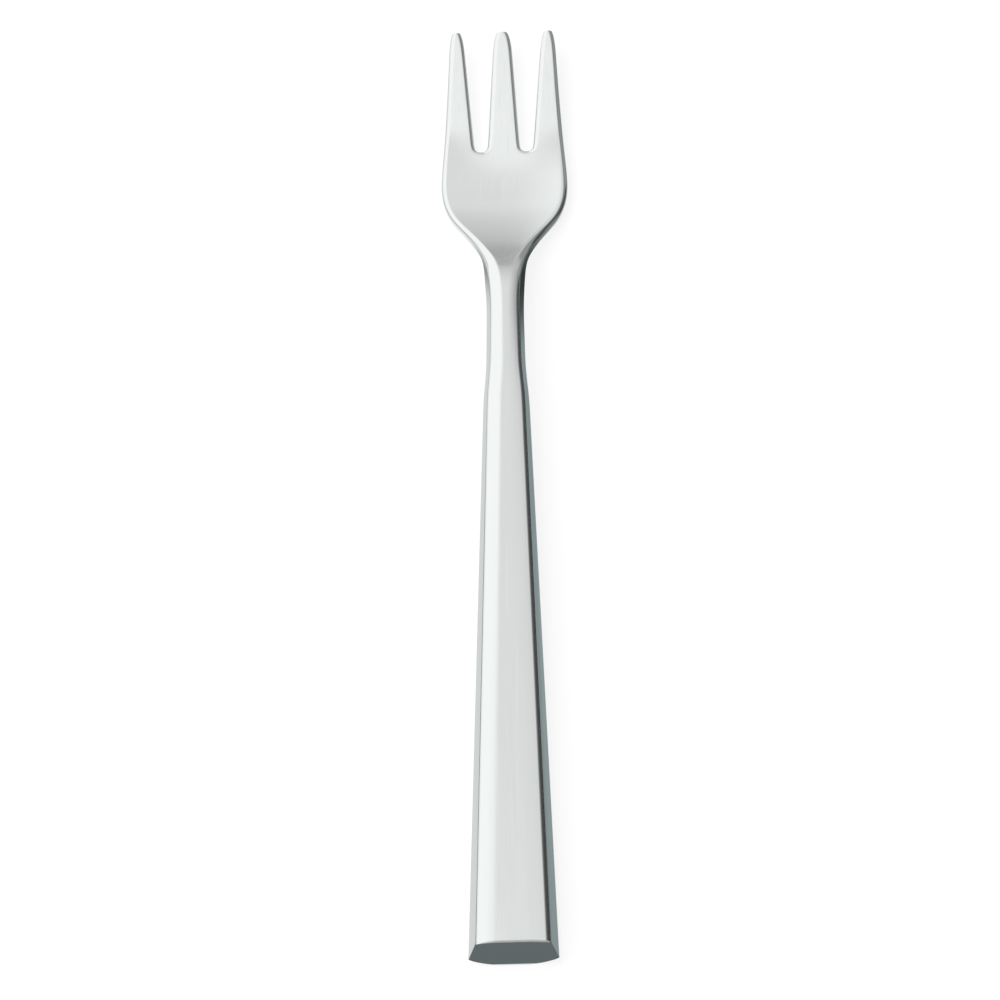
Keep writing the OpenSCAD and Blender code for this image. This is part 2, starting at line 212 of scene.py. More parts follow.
def arch(s):  # rise of the underside, from its flat middle at 0 to its edge at 1
    return (max(0, abs(s) - head["restShare"]) / (1 - head["restShare"])) ** 2


def handleSection(y):  # the sizes of the handle's section, which change evenly from butt to joint
    share = y / handle["length"]
    sizes = {k: mix(handle["butt"][k], handle["joint"][k], share) for k in handle["butt"]}
    for name in ("creaseSoft", "edgeRound", "lowRound"):
        sizes[name] = mix(*handle[name], min(1, share))
    return SimpleNamespace(**sizes)


runInY = [handle["length"] + side * head["runIn"] * head["length"] for side in (-1, 0, 1)]
outline = [(y, handleSection(y).half) for y in runInY]
outline += [
    (handle["length"] + a * head["length"], mix(head["neckHalf"], head["widest"] / 2, w))
    for a, w in outlineShares
]
topLine = [(y, handleSection(y).top) for y in runInY]
topLine += [
    (handle["length"] + a * head["length"],
     head["bowlThick"] + (head["neckTop"] - head["bowlThick"]) * n + head["tipRise"] * r)
    for a, n, r in topLineShares
]
for line in (outline, topLine):
    line.append(tuple(2 * b - a for a, b in zip(line[-2], line[-1])))


def headSection(y):  # the handle's sizes settle into the neck's, then into the bowl's
    law = handleSection(y)
    into = (y - handle["length"]) / head["length"]
    toNeck = ease(0, head["neckSettles"], into)
    toBowl = ease(head["shoulder"], head["bowl"], into)
    toRim = ease(head["bevelStart"], head["bevelEnd"], into)
    toTips = ease(head["tinesStart"], 1, into)
    half = curveAt(outline, y)
    slope = (curveAt(outline, y + probe) - curveAt(outline, y - probe)) / (2 * probe)
    straight = 1 / math.sqrt(1 + slope * slope)
    lean = mix(law.half - law.edge, head["neckHalf"] - head["neckEdge"], toNeck)
    bevel = mix(law.edge - law.flat, head["neckEdge"] - head["neckFlat"], toNeck)
    thick = mix(mix(mix(law.thick, head["neckThick"], toNeck), head["bowlThick"], toBowl),
                head["tipThick"], toTips)
    headRim = mix(head["rim"], head["tineRim"], ease(head["tineRimStart"], head["tineRimEnd"], into))
    rim = mix(bevel, headRim, toRim) / straight
    edge = half - lean * (1 - toBowl)
    return SimpleNamespace(
        half=half, edge=edge, flat=edge - rim, top=curveAt(topLine, y), thick=thick,
        drop=mix(mix(law.drop, head["neckDrop"], toNeck), thick * head["rimDrop"], toBowl),
        belly=mix(mix(law.belly, head["neckBelly"], toNeck), thick * head["rimBelly"], toBowl),
        under=mix(half * straight, headRim * head["underRim"], toBowl),
        dish=head["dish"] * (toBowl - ease(head["dishStart"], head["dishEnd"], into)),
        roundness=toBowl, straight=straight, rim=rim * straight,
        creaseSoft=law.creaseSoft, edgeRound=law.edgeRound, lowRound=law.lowRound)


# mesh points in each turn of a section
arc = {"crease": 6, "bevel": 5, "edge": 8, "low": 7, "belly": 20}
# the most that a turn takes of the bevel's width, each way, and that the crease takes of the flat's
most = {"crease": 0.225, "bevel": 0.25, "edge": 0.24, "creaseOfFlat": 0.9}
insideTurn = 0.5  # inside a shell the lower corner is rounded by this much of the outside
leastTurn = 0.2  # and the edge by at least this much


def rounded(corner, before, after, reach, count):  # a smooth turn at a corner
    toBefore = (before - corner).normalized() * reach
    toAfter = (after - corner).normalized() * reach
    turn = []
    for i in range(count):
        u = i / (count - 1)
        turn.append(corner + toBefore * (1 - u) ** 2 + toAfter * u**2)
    return turn


def wallPoint(s, inset, share):  # a point on the side wall, up from the lower corner
    low = s.top - s.thick + s.belly
    return Vector((mix(s.half, s.edge, share) - inset, mix(low, s.top - s.drop, share)))


def upperCorner(s, inset=0.0):  # from the crease beside the flat, over the bevel, to the wall
    crown = math.tan(handle["bevelTurn"])
    dishUp = getattr(s, "dish", 0) * (s.flat / s.half) ** 2
    middle = Vector((0, s.top - inset + dishUp))
    flat = Vector((s.flat, s.top - inset + dishUp))
    edge = Vector((s.edge - inset, s.top - s.drop - inset))
    across = edge - flat
    bulge = flat + across / 2 + Vector((-across.y, across.x)) * crown / 2
    wall = wallPoint(s, inset, handle["seamShare"])
    shrink = max(leastTurn, 1 - inset / s.edgeRound) if inset else 1
    soft = min(s.creaseSoft, most["crease"] * across.length, most["creaseOfFlat"] * s.flat)
    points = rounded(flat, middle, bulge, soft, arc["crease"])
    points += rounded(bulge, flat, edge, most["bevel"] * across.length, arc["bevel"])
    reach = min(s.edgeRound * shrink, most["edge"] * across.length)
    points += rounded(edge, bulge, wall, reach, arc["edge"])
    return points


def bellyPoint(s, x, inset):  # a point on the arched underside
    return Vector((x, s.top - s.thick + s.belly * arch(x / s.half) + inset))


def lowerCorner(s, inset=0.0):  # from the wall, round the lower corner, onto the belly
    corner = Vector((s.half - inset, s.top - s.thick + s.belly + inset))
    inner = bellyPoint(s, s.half - inset - s.lowRound * 2, inset)
    wall = wallPoint(s, inset, handle["seamShare"])
    reach = s.lowRound * (insideTurn if inset else 1)
    points = rounded(corner, wall, inner, reach, arc["low"])
    start = points[-1].x
    for i in range(1, arc["belly"] + 1):
        points.append(bellyPoint(s, start * (1 - i / arc["belly"]), inset))
    return points


def upperLine(y, inset):  # seam to seam, over the top
    s = handleSection(y)
    right = upperCorner(s, inset) + [wallPoint(s, inset, handle["seamShare"])]
    return [Vector((-p.x, p.y)) for p in reversed(right)] + right


def lowerLine(y, inset):  # seam to seam, round the belly
    s = handleSection(y)
    right = [wallPoint(s, inset, handle["seamShare"])] + lowerCorner(s, inset)
    return [Vector((-p.x, p.y)) for p in right[:-1]] + list(reversed(right))


leanRounds = 4  # rounds that bring a point onto a leaning plane


def leaned(line, inset, slope, base):  # the line on a plane that leans back from the table at base
    count = len(line(base, inset))
    points = []
    for i in range(count):
        y = base
        for _ in range(leanRounds):
            p = line(y, inset)[i]
            y = base + slope * p.y
        points.append((p.x, y, p.y))
    return points


sharpAngle = math.radians(35)  # edges that turn by more than this are shaded sharp


def addPiece(name, points, faces):
    mesh = bpy.data.meshes.new(name)
    shift = overall / 2
    mesh.from_pydata([(x * mm, (y - shift) * mm, z * mm) for x, y, z in points], [], faces)
    work = bmesh.new()
    work.from_mesh(mesh)
    loose = [v for v in work.verts if not v.link_faces]
    bmesh.ops.delete(work, geom=loose, context="VERTS")
    bmesh.ops.recalc_face_normals(work, faces=work.faces)
    work.to_mesh(mesh)
    work.free()
    mesh.shade_smooth()
    mesh.set_sharp_from_angle(angle=sharpAngle)
    piece = bpy.data.objects.new(name, mesh)
    bpy.context.scene.collection.objects.link(piece)
    return piece


def twoSheets(rows, filled):  # faces of a solid made of an upper and an under sheet of cells
    lines = len(rows[0][0])
    points = [p for upper, under in rows for p in list(upper) + list(under)]
    faces = []

    def at(row, line, sheet):
        return (row * 2 + sheet) * lines + line

    def full(row, cell):
        return 0 <= row < len(rows) - 1 and 0 <= cell < lines - 1 and filled(row, cell)

    for row in range(len(rows)):
        for cell in range(lines):
            here = full(row, cell)
            if here:
                for sheet in (0, 1):
                    faces.append((at(row, cell, sheet), at(row + 1, cell, sheet),
                                  at(row + 1, cell + 1, sheet), at(row, cell + 1, sheet)))
            if row < len(rows) - 1 and here != full(row, cell - 1):
                faces.append((at(row, cell, 0), at(row, cell, 1),
                              at(row + 1, cell, 1), at(row + 1, cell, 0)))
            if cell < lines - 1 and here != full(row - 1, cell):
                faces.append((at(row, cell, 0), at(row, cell, 1),
                              at(row, cell + 1, 1), at(row, cell + 1, 0)))
    return points, faces


def through(rings):  # a solid through closed rings, with a flat face at both ends
    n = len(rings[0])
    points = [p for closed in rings for p in closed]
    faces = [tuple(range(n)), tuple(range(len(points) - 1, len(points) - 1 - n, -1))]
    for r in range(len(rings) - 1):
        for i in range(n):
            a = r * n + i
            b = r * n + (i + 1) % n
            faces.append((a, a + n, b + n, b))
    return points, faces


def shellRows(line, outer, inner):  # they lean as the end plate does, and less and less to the joint
    rows = []
    for i in range(handle["rows"] + 1):
        share = i / handle["rows"]
        y = mix(handle["plate"], handle["length"], share)
        slope = handle["lean"] * (1 - share)
        rows.append((leaned(line, outer, slope, y), leaned(line, inner, slope, y)))
    return rows


def ring(inset, base):  # the whole section of the handle
    over = leaned(upperLine, inset, handle["lean"], base)
    under = leaned(lowerLine, inset, handle["lean"], base)
    return over + list(reversed(under[1:-1]))


upperShell = addPiece("handleUpperShell", *twoSheets(
    shellRows(upperLine, 0, handle["shell"]), lambda row, cell: True))
lowerShell = addPiece("handleLowerShell", *twoSheets(
    shellRows(lowerLine, 0, handle["shell"]), lambda row, cell: True))

plateRings = []
for i in range(handle["chamferSteps"] + 1):  # the chamfer is worn round
    turn = math.pi / 2 * i / handle["chamferSteps"]
    inset = handle["chamfer"] * (1 - math.sin(turn))
    plateRings.append(ring(inset, handle["chamfer"] * (1 - math.cos(turn))))
plateRings.append(ring(0, handle["chamfer"] + handle["chamferEdge"]))
plateRings.append(ring(0, handle["plate"]))
spigotInset = handle["shell"] + handle["gap"]
plateRings.append(ring(spigotInset, handle["plate"]))
plateRings.append(ring(spigotInset, handle["plate"] + handle["spigot"]))
endPlate = addPiece("handleEndPlate", *through(plateRings))
print("handle made")


# the head is two sheets of cells, with slots left out between the tines
def tipWidth(y):  # the share of its width that a tine has at y, down to a blunt round tip
    blunt = tines["blunt"] * tines["tipRound"]
    s = min(1, (overall - y + blunt) / (tines["tipRound"] + blunt))
    return (1 - (1 - s) ** tines["fullness"]) ** (1 / tines["fullness"])


def slotX(y):  # the middle of a slot
    return mix(tines["rootPitch"], tines["tipPitch"], max(0, y - rootY) / tines["length"]) / 2


def slotHalf(y):  # half a slot's width; its root has round corners
    w = mix(tines["slotRoot"], tines["slotTip"], max(0, y - rootY) / tines["length"]) / 2
    inside = max(0, tines["cornerR"] - (y - rootY))
    return w - tines["cornerR"] + math.sqrt(max(0, tines["cornerR"] ** 2 - inside**2))


def middleTine(y):  # its middle and half its width
    return 0.0, (slotX(y) - slotHalf(y)) * tipWidth(y)


def outerTine(y):  # the same for the one on the right
    inner = slotX(y) + slotHalf(y)
    outer = curveAt(outline, y)
    return (inner + outer) / 2, (outer - inner) / 2 * tipWidth(y)


middleSteps = 4  # mesh lines over the flat of the middle tine, from its middle to its rim
acrossSteps = 6  # and over the flat of an outer tine
rimSteps = 14  # mesh lines over a rim beside a slot
outerSteps = arc["crease"] + arc["bevel"] + arc["edge"] + 1  # and over the outer rim


def rimSpread(y):  # how far a slot's rounded rim reaches sideways; it reaches further at the root
    corner = tines["cornerR"]
    inside = min(corner, max(0, corner - (y - rootY)))
    reach = math.sqrt((corner + head["tineRim"]) ** 2 - inside**2)
    return reach - math.sqrt(corner**2 - inside**2)


def quarter(i, count):  # falls from 1 to 0 as a quarter circle does
    return 1 - math.sin(math.pi / 2 * i / count)


def rimLines(tine, side, count, rim):  # x of the lines over a tine's rim, from inside to its edge
    rim = min(rim, head["rimLimit"] * tine[1])
    return [tine[0] + side * (tine[1] - rim * quarter(i, count - 1)) for i in range(count)]


def tineLines(y):  # x of every mesh line at y, from the middle of the head to its edge
    middle = middleTine(y)
    outer = outerTine(y)
    middleRim = rimLines(middle, 1, rimSteps, rimSpread(y))
    innerRim = list(reversed(rimLines(outer, -1, rimSteps, rimSpread(y))))
    outerRim = rimLines(outer, 1, outerSteps - 1, head["tineRim"])
    inner = [middleRim[0] * i / middleSteps for i in range(middleSteps)]
    across = [mix(innerRim[-1], outerRim[0], i / acrossSteps) for i in range(1, acrossSteps)]
    return inner + middleRim + [slotX(y)] + innerRim + across + outerRim + [outerRim[-1]]


rootLines = tineLines(rootY)
rimLine = len(rootLines) - outerSteps  # the first line of the outer rim


def slotDistance(x, y):  # how far a point of the bowl lies from the nearer slot
    across = max(0, abs(abs(x) - slotX(rootY)) - slotHalf(rootY))
    along = max(0, rootY + tines["cornerR"] - y)
    return math.hypot(across, along) - tines["cornerR"]


def tineSlopes(y):  # each tine at y, and how fast it narrows there
    found = []
    for tineAt in (middleTine, outerTine):
        here = tineAt(y)
        found.append((here, (tineAt(y - probe)[1] - here[1]) / probe))
    return found


def rimDistance(x, y, s, half, slopes):  # how far a point lies from the nearest edge of the head
    if y > rootY + tines["cornerR"]:
        tine, slope = slopes[0] if abs(x) < slotX(y) else slopes[1]
        return (tine[1] - abs(abs(x) - tine[0])) / math.sqrt(1 + slope * slope)
    return min((half - abs(x)) * s.straight, slotDistance(x, y))


def roundFall(s):  # rises from 0 to 1 as a quarter circle does
    return 1 - math.sqrt(max(0, 1 - s * s))


def topZ(x, y, s, slopes):  # height of the top: dished, and rounded down to its rim
    rim = max(0.0, min(s.rim, rimDistance(x, y, s, s.edge, slopes)))
    return s.top + s.dish * (x / s.half) ** 2 - s.drop * roundFall(1 - rim / s.rim)


def underZ(x, y, s, slopes):  # height of the underside, which arches or rounds up to its rim
    rim = max(0.0, min(s.under, rimDistance(x, y, s, s.half, slopes)))
    a = 1 - rim / s.under
    return (s.top - s.thick + s.dish * arch(x / s.half)
            + s.belly * mix(arch(a), roundFall(a), s.roundness))


wallIn = (0.35, 0.25)  # how far the last mesh lines above and below lie down and up the side wall
wallMiddle = 0.5  # and where the upper one lies on the neck's own wall


def headRow(y):  # where the bowl begins, the lines of the neck's section give way to the bowl's
    s = headSection(y)
    slopes = tineSlopes(y)
    if y > rootY:
        lines = tineLines(y)
    else:
        lines = [x * s.flat / rootLines[rimLine] for x in rootLines[:rimLine]]
        lines += [s.edge - (s.edge - s.flat) * quarter(i, outerSteps - 2)
                  for i in range(outerSteps - 1)]
        lines.append(s.edge)
    upper = [Vector((x, topZ(x, y, s, slopes))) for x in lines]
    under = [Vector((x, underZ(x, y, s, slopes))) for x in lines]
    upper[-1] = Vector((lines[-1], mix(upper[-2].y, under[-1].y, wallIn[0])))
    under[-1] = Vector((lines[-1], mix(under[-1].y, upper[-2].y, wallIn[1])))
    if s.roundness < 1:  # the neck's own corners, which give way as the bowl begins
        corner = upperCorner(s) + [wallPoint(s, 0, wallMiddle)]
        start = corner[0].x
        for i in range(rimLine):
            upper[i].x = mix(rootLines[i] * start / rootLines[rimLine], upper[i].x, s.roundness)
            upper[i].y = topZ(upper[i].x, y, s, slopes)
        for i, p in enumerate(corner):
            upper[rimLine + i] = p.lerp(upper[rimLine + i], s.roundness)
        lower = list(reversed(lowerCorner(s)[:outerSteps]))
        start = lower[0].x
        for i in range(rimLine):
            under[i].x = mix(rootLines[i] * start / rootLines[rimLine], under[i].x, s.roundness)
            under[i].y = underZ(under[i].x, y, s, slopes)
        firstFillet = outerSteps - arc["low"]
        for i, p in enumerate(lower):
            k = rimLine + i
            x = mix(p.x, under[k].x, s.roundness)
            if i < firstFillet:
                under[k] = Vector((x, underZ(x, y, s, slopes)))
            else:
                under[k] = Vector((x, mix(p.y, under[k].y, s.roundness)))
    rows = []
    for sheet in (upper, under):
        left = [(-p.x, y, p.y) for p in reversed(sheet[1:])]
        rows.append(left + [(p.x, y, p.y) for p in sheet])
    return tuple(rows)


def tangRow(y, half):  # the tang is a plain flat bar
    middle = handleSection(y).top - handleSection(y).thick / 2
    count = len(rootLines) - 1
    across = [half * i / count for i in range(-count, count + 1)]
    return tuple([(x, y, middle + side * tang["thick"] / 2) for x in across] for side in (1, -1))


# mesh rows along each part of the head
rowCounts = {"neck": 84, "rimBack": 12, "corner": 12, "tines": 28, "tips": 22}
rimStart = 1.1 * head["tineRim"]  # the rows close up from this far behind the roots of the slots
cornerEnd = rootY + tines["cornerR"]
tipStart = overall - tines["tipRound"]
headY = [mix(handle["length"], rootY - rimStart, i / rowCounts["neck"])
         for i in range(rowCounts["neck"])]
headY += [rootY - rimStart * quarter(i, rowCounts["rimBack"]) for i in range(rowCounts["rimBack"])]
tangRows = [tangRow(handle["length"] - tang["length"], tang["endHalf"]),
            tangRow(handle["length"], tang["jointHalf"])]
rootRow = len(tangRows) + len(headY)
for i in range(rowCounts["corner"] + 1):
    headY.append(rootY + tines["cornerR"] * (1 - math.cos(math.pi / 2 * i / rowCounts["corner"])))
headY += [mix(cornerEnd, tipStart, i / rowCounts["tines"]) for i in range(1, rowCounts["tines"])]
headY += [overall - tines["tipRound"] * quarter(i, rowCounts["tips"])
          for i in range(rowCounts["tips"] + 1)]
headRows = tangRows + [headRow(y) for y in headY]

slotLine = middleSteps + rimSteps  # a slot's middle line, counted from the middle of the head
middleLine = len(rootLines) - 1


def headCell(row, cell):  # every cell is filled but those of the slots
    out = middleLine - cell - 1 if cell < middleLine else cell - middleLine
    return row < rootRow or out not in (slotLine - 1, slotLine)


forkHead = addPiece("forkHead", *twoSheets(headRows, headCell))
print("head made")

pieces = {
    "fork_head": forkHead,
    "handle_upper_shell": upperShell,
    "handle_lower_shell": lowerShell,
    "handle_end_plate": endPlate,
}
for node, piece in pieces.items():
    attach(piece, "root")
    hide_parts(node)


def toLinear(hexText):  # an sRGB hex colour as linear values
    linear = []
    for i in (1, 3, 5):
        c = int(hexText[i:i + 2], 16) / 255
        linear.append(c / 12.92 if c <= 0.04045 else ((c + 0.055) / 1.055) ** 2.4)
    return tuple(linear) + (1.0,)


def addNode(tree, kind, inputs, **settings):
    node = tree.nodes.new(kind)
    for name, value in settings.items():
        setattr(node, name, value)
    for socket, value in inputs.items():
        if isinstance(value, bpy.types.NodeSocket):
            tree.links.new(value, node.inputs[socket])
        else:
            node.inputs[socket].default_value = value
    return node


def newMaterial(name):
    material = bpy.data.materials.new(name)
    material.use_nodes = True
    material.node_tree.nodes.clear()
    return material, material.node_tree


def setStops(ramp, stops):  # each stop is a place and a colour or a grey
    elements = ramp.color_ramp.elements
    while len(elements) < len(stops):
        elements.new(0.5)
    for element, (place, value) in zip(elements, stops):
        element.position = place
        element.color = value if isinstance(value, tuple) else (value, value, value, 1.0)


steel = {
    "colour": "#E3E6E5",  # 18/10 stainless steel, faintly cool
    "roughness": (0.10, 0.17),
    "lineSpacing": 0.16,  # mm; real polishing lines are near 0.02 mm and wouldn't show
    "lineLength": 14.0,
    "lineContrast": (0.3, 0.7),
    "lineBump": (0.03, 0.02),  # strength, and depth in mm
    "hairSpacing": 0.4,  # mm; fine scratches from use, drawn wider apart than they lie, to show
    "hairLength": 30.0,
    "hairTurn": math.radians(1.5),  # they run a little off the length
    "hairContrast": (0.62, 0.68),  # only the highest of the noise shows, so they are sparse
    "hairRoughness": 0.07,  # what a scratch adds to the roughness
}


def polishedStainlessSteel():  # buffed on a wheel: clear reflections, softened along the length
    material, tree = newMaterial("stainlessSteelBuffed")
    place = addNode(tree, "ShaderNodeTexCoord", {})
    stretched = addNode(tree, "ShaderNodeMapping", {
        "Vector": place.outputs["Object"],
        "Scale": (1 / (steel["lineSpacing"] * mm), 1 / (steel["lineLength"] * mm),
                  1 / (steel["lineSpacing"] * mm)),
    })
    lines = addNode(tree, "ShaderNodeTexNoise", {
        "Vector": stretched.outputs["Vector"], "Scale": 1.0, "Detail": 2.0, "Roughness": 0.5})
    rough = addNode(tree, "ShaderNodeMapRange", {
        "Value": lines.outputs["Fac"],
        "From Min": steel["lineContrast"][0], "From Max": steel["lineContrast"][1],
        "To Min": steel["roughness"][0], "To Max": steel["roughness"][1]})
    hairPlace = addNode(tree, "ShaderNodeMapping", {
        "Vector": place.outputs["Object"],
        "Rotation": (0.0, 0.0, steel["hairTurn"]),
        "Scale": (1 / (steel["hairSpacing"] * mm), 1 / (steel["hairLength"] * mm),
                  1 / (steel["hairSpacing"] * mm)),
    })
    hairs = addNode(tree, "ShaderNodeTexNoise", {
        "Vector": hairPlace.outputs["Vector"], "Scale": 1.0, "Detail": 1.0})
    worn = addNode(tree, "ShaderNodeMapRange", {
        "Value": hairs.outputs["Fac"],
        "From Min": steel["hairContrast"][0], "From Max": steel["hairContrast"][1],
        "To Min": 0.0, "To Max": steel["hairRoughness"]})
    roughness = addNode(tree, "ShaderNodeMath", {
        0: rough.outputs["Result"], 1: worn.outputs["Result"]}, operation="ADD")
    bump = addNode(tree, "ShaderNodeBump", {
        "Height": lines.outputs["Fac"],
        "Strength": steel["lineBump"][0], "Distance": steel["lineBump"][1] * mm})
    shader = addNode(tree, "ShaderNodeBsdfPrincipled", {
        "Base Color": toLinear(steel["colour"]),
        "Metallic": 1.0,
        "Roughness": roughness.outputs["Value"],
        "Normal": bump.outputs["Normal"],
    })
    addNode(tree, "ShaderNodeOutputMaterial", {"Surface": shader.outputs["BSDF"]})
    return material


cement = {
    "colours": ("#8F8D86", "#B0AEA6"),
    "contrast": (0.35, 0.65),
    "grain": 0.35,  # mm
    "bump": (0.4, 0.05),  # strength, and depth in mm
    "roughness": 0.9,
}


def handleCement():  # a poured mineral cement: matt, grey, finely grained
    material, tree = newMaterial("handleCementPoured")
    place = addNode(tree, "ShaderNodeTexCoord", {})
    grain = addNode(tree, "ShaderNodeTexNoise", {
        "Vector": place.outputs["Object"], "Scale": 1 / (cement["grain"] * mm), "Detail": 3.0})
    tone = addNode(tree, "ShaderNodeValToRGB", {"Fac": grain.outputs["Fac"]})
    colours = [toLinear(hexText) for hexText in cement["colours"]]
    setStops(tone, list(zip(cement["contrast"], colours)))
    bump = addNode(tree, "ShaderNodeBump", {
        "Height": grain.outputs["Fac"],
        "Strength": cement["bump"][0], "Distance": cement["bump"][1] * mm})
    shader = addNode(tree, "ShaderNodeBsdfPrincipled", {
        "Base Color": tone.outputs["Color"],
        "Roughness": cement["roughness"],
        "Normal": bump.outputs["Normal"],
    })
    addNode(tree, "ShaderNodeOutputMaterial", {"Surface": shader.outputs["BSDF"]})
    return material


steelMaterial = polishedStainlessSteel()
for piece in pieces.values():
    piece.data.materials.append(steelMaterial)
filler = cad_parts["handle_filler"]
filler.data.materials.clear()
filler.data.materials.append(handleCement())
print("materials made")

# the stage is a white table in a soft light tent
tent = {
    "strength": 1.5,  # the ramps hold 0 to 1, so brighter looks are divided by this, and put back
    # how bright the tent is, by degrees from upright: across, from left to right, and along, from
    # the butt's side to the tips' side
    "across": [(-90, 0.3), (-78, 0.5), (-62, 1.05), (-40, 1.17), (-12, 1.17), (-6, 1.1), (-3, 1.01),
               (0, 1.0), (8, 1.0), (14, 0.97), (17, 0.9), (20, 0.72), (24, 0.45), (30, 0.22),
               (40, 0.12), (60, 0.08), (90, 0.05)],
    "along": [(-90, 0.25), (-70, 0.45), (-30, 0.6), (0, 0.75), (8, 0.87), (12, 1.02), (14, 1.11),
              (17.7, 1.1), (19.3, 1.05), (20.7, 0.845), (22.5, 0.86), (24.5, 0.857), (27, 0.885),
              (32, 0.88), (38, 0.825), (50, 0.745), (60, 0.705), (68, 0.66), (74, 0.625),
              (79, 0.53), (85, 0.465), (90, 0.4)],
    # where, across, the even panel on the left hides the changes along
    "panel": [(-90, 1.0), (-13, 1.0), (-6, 0.0), (90, 0.0)],
    # the least light across, by degrees along: it lights the fork when it is seen from the tips
    "behind": [(-90, 0.75), (-30, 0.7), (-8, 0.55), (5, 0.0), (90, 0.0)],
}


def lightTent():
    world = bpy.data.worlds.new("lightTent")
    bpy.context.scene.world = world
    world.use_nodes = True
    tree = world.node_tree
    tree.nodes.clear()
    direction = addNode(tree, "ShaderNodeTexCoord", {})
    parts = addNode(tree, "ShaderNodeSeparateXYZ", {"Vector": direction.outputs["Generated"]})
    looks = []
    for axis, name in (("X", "across"), ("Y", "along"), ("X", "panel"), ("Y", "behind")):
        angle = addNode(tree, "ShaderNodeMath", {0: parts.outputs[axis]}, operation="ARCSINE")
        share = addNode(tree, "ShaderNodeMapRange", {
            "Value": angle.outputs["Value"], "From Min": -math.pi / 2, "From Max": math.pi / 2})
        ramp = addNode(tree, "ShaderNodeValToRGB", {"Fac": share.outputs["Result"]})
        setStops(ramp, [((at + 90) / 180, value / tent["strength"]) for at, value in tent[name]])
        looks.append(ramp.outputs["Color"])
    panel = addNode(tree, "ShaderNodeMath", {0: looks[2], 1: tent["strength"]}, operation="MULTIPLY")
    even = 1 / tent["strength"]
    along = addNode(tree, "ShaderNodeMix", {
        "Factor": panel.outputs[0], "A": looks[1], "B": (even, even, even, 1.0)}, data_type="RGBA")
    across = addNode(tree, "ShaderNodeMix", {
        "Factor": 1.0, "A": looks[0], "B": looks[3]}, data_type="RGBA", blend_type="LIGHTEN")
    both = addNode(tree, "ShaderNodeMix", {
        "Factor": 1.0, "A": across.outputs["Result"], "B": along.outputs["Result"]},
        data_type="RGBA", blend_type="MULTIPLY")
    light = addNode(tree, "ShaderNodeBackground", {
        "Color": both.outputs["Result"], "Strength": tent["strength"] ** 2})
    addNode(tree, "ShaderNodeOutputWorld", {"Surface": light.outputs["Background"]})


lightTent()

floorHalf = 2.5  # metres
floorLook = {"colour": "#898989", "lift": 0.79}
floorMesh = bpy.data.meshes.new("table")
floorMesh.from_pydata([(-floorHalf, -floorHalf, 0), (floorHalf, -floorHalf, 0),
                       (floorHalf, floorHalf, 0), (-floorHalf, floorHalf, 0)], [], [(0, 1, 2, 3)])
floor = bpy.data.objects.new("table", floorMesh)
bpy.context.scene.collection.objects.link(floor)
# white card, matt: grey card that is lifted to white for the camera and the metal, so that the ground
# is as white as the photograph's and takes only a faint shadow
floorMaterial, floorTree = newMaterial("whiteCardMatt")
floorLit = addNode(floorTree, "ShaderNodeBsdfDiffuse", {"Color": toLinear(floorLook["colour"])})
ray = addNode(floorTree, "ShaderNodeLightPath", {})
seen = ray.outputs["Is Camera Ray"]
for kind in ("Is Glossy Ray", "Is Transmission Ray"):
    either = addNode(floorTree, "ShaderNodeMath", {0: seen, 1: ray.outputs[kind]}, operation="MAXIMUM")
    seen = either.outputs[0]
lift = addNode(floorTree, "ShaderNodeMath", {0: seen, 1: floorLook["lift"]}, operation="MULTIPLY")
floorLift = addNode(floorTree, "ShaderNodeEmission", {"Strength": lift.outputs[0]})
floorShader = addNode(floorTree, "ShaderNodeAddShader", {
    0: floorLit.outputs["BSDF"], 1: floorLift.outputs["Emission"]})
addNode(floorTree, "ShaderNodeOutputMaterial", {"Surface": floorShader.outputs["Shader"]})
floorMesh.materials.append(floorMaterial)

# glowing cards that only the metal sees, which paint reflections into it: their tones, which change
# along the fork, paint the steel's dark edges and lines and the shaded table beside it as painted
# reflections of shade. Each lies beside the fork, from one distance off its outline to another, in mm;
# its tone changes on the way from the butt to the tips, at the lengths given
# tints of the painted reflections; the cool one gives the steel's mirrored edges a cool cast
cool = (0.86, 1.0, 1.02)
neutral = (0.97, 1.0, 0.99)
paintedReflectionCards = {
    "leftNearPaintedReflection": {"side": -1, "near": 0.5, "far": 14, "tint": neutral, "tones": [
        (107.5, 0.78), (110.5, 0.55), (112, 0.3), (113, 0.34), (114.2, 0.6), (115.5, 0.82),
        (117, 0.95), (119, 1.0), (123, 1.0), (128, 0.84)]},
    "leftFarPaintedReflection": {"side": -1, "near": 14, "far": 400, "tint": neutral, "tones": [
        (80, 0.25), (95, 0.6)]},
    "rightNearPaintedReflection": {"side": 1, "near": 0.5, "far": 3, "tint": cool, "tones": [
        (0, 0.34), (50, 0.38), (100, 0.36), (106.5, 0.11), (109, 0.05), (113.6, 0.055), (115, 0.17),
        (116.5, 0.27), (119, 0.38), (124, 0.48)]},
    "rightMiddlePaintedReflection": {"side": 1, "near": 3, "far": 10, "tint": cool, "tones": [
        (0, 0.2), (12, 0.22), (30, 0.3), (60, 0.33), (100, 0.33), (106.5, 0.09), (109.5, 0.05),
        (113.5, 0.045), (115.5, 0.23), (118, 0.18), (121, 0.24), (124, 0.38)]},
    "rightOuterPaintedReflection": {"side": 1, "near": 10, "far": 22, "tint": cool, "tones": [
        (108, 0.03), (111, 0.12), (113.5, 0.28), (117, 0.1), (123, 0.05), (128, 0.2)]},
    "rightFarPaintedReflection": {"side": 1, "near": 22, "far": 400, "tint": cool, "tones": [
        (112, 0.03), (118, 0.1), (124, 0.2)]},
}
cardHeight = 0.2
cardReach = 400.0  # how far the cards go on past the butt and the tips
cardStep = 1.5


def outlineHalf(y):  # half the fork's width, and its end's past the butt and the tips
    y = min(max(0, y), overall)
    if y < handle["length"] - head["runIn"] * head["length"]:
        return handleSection(y).half
    return curveAt(outline, y)


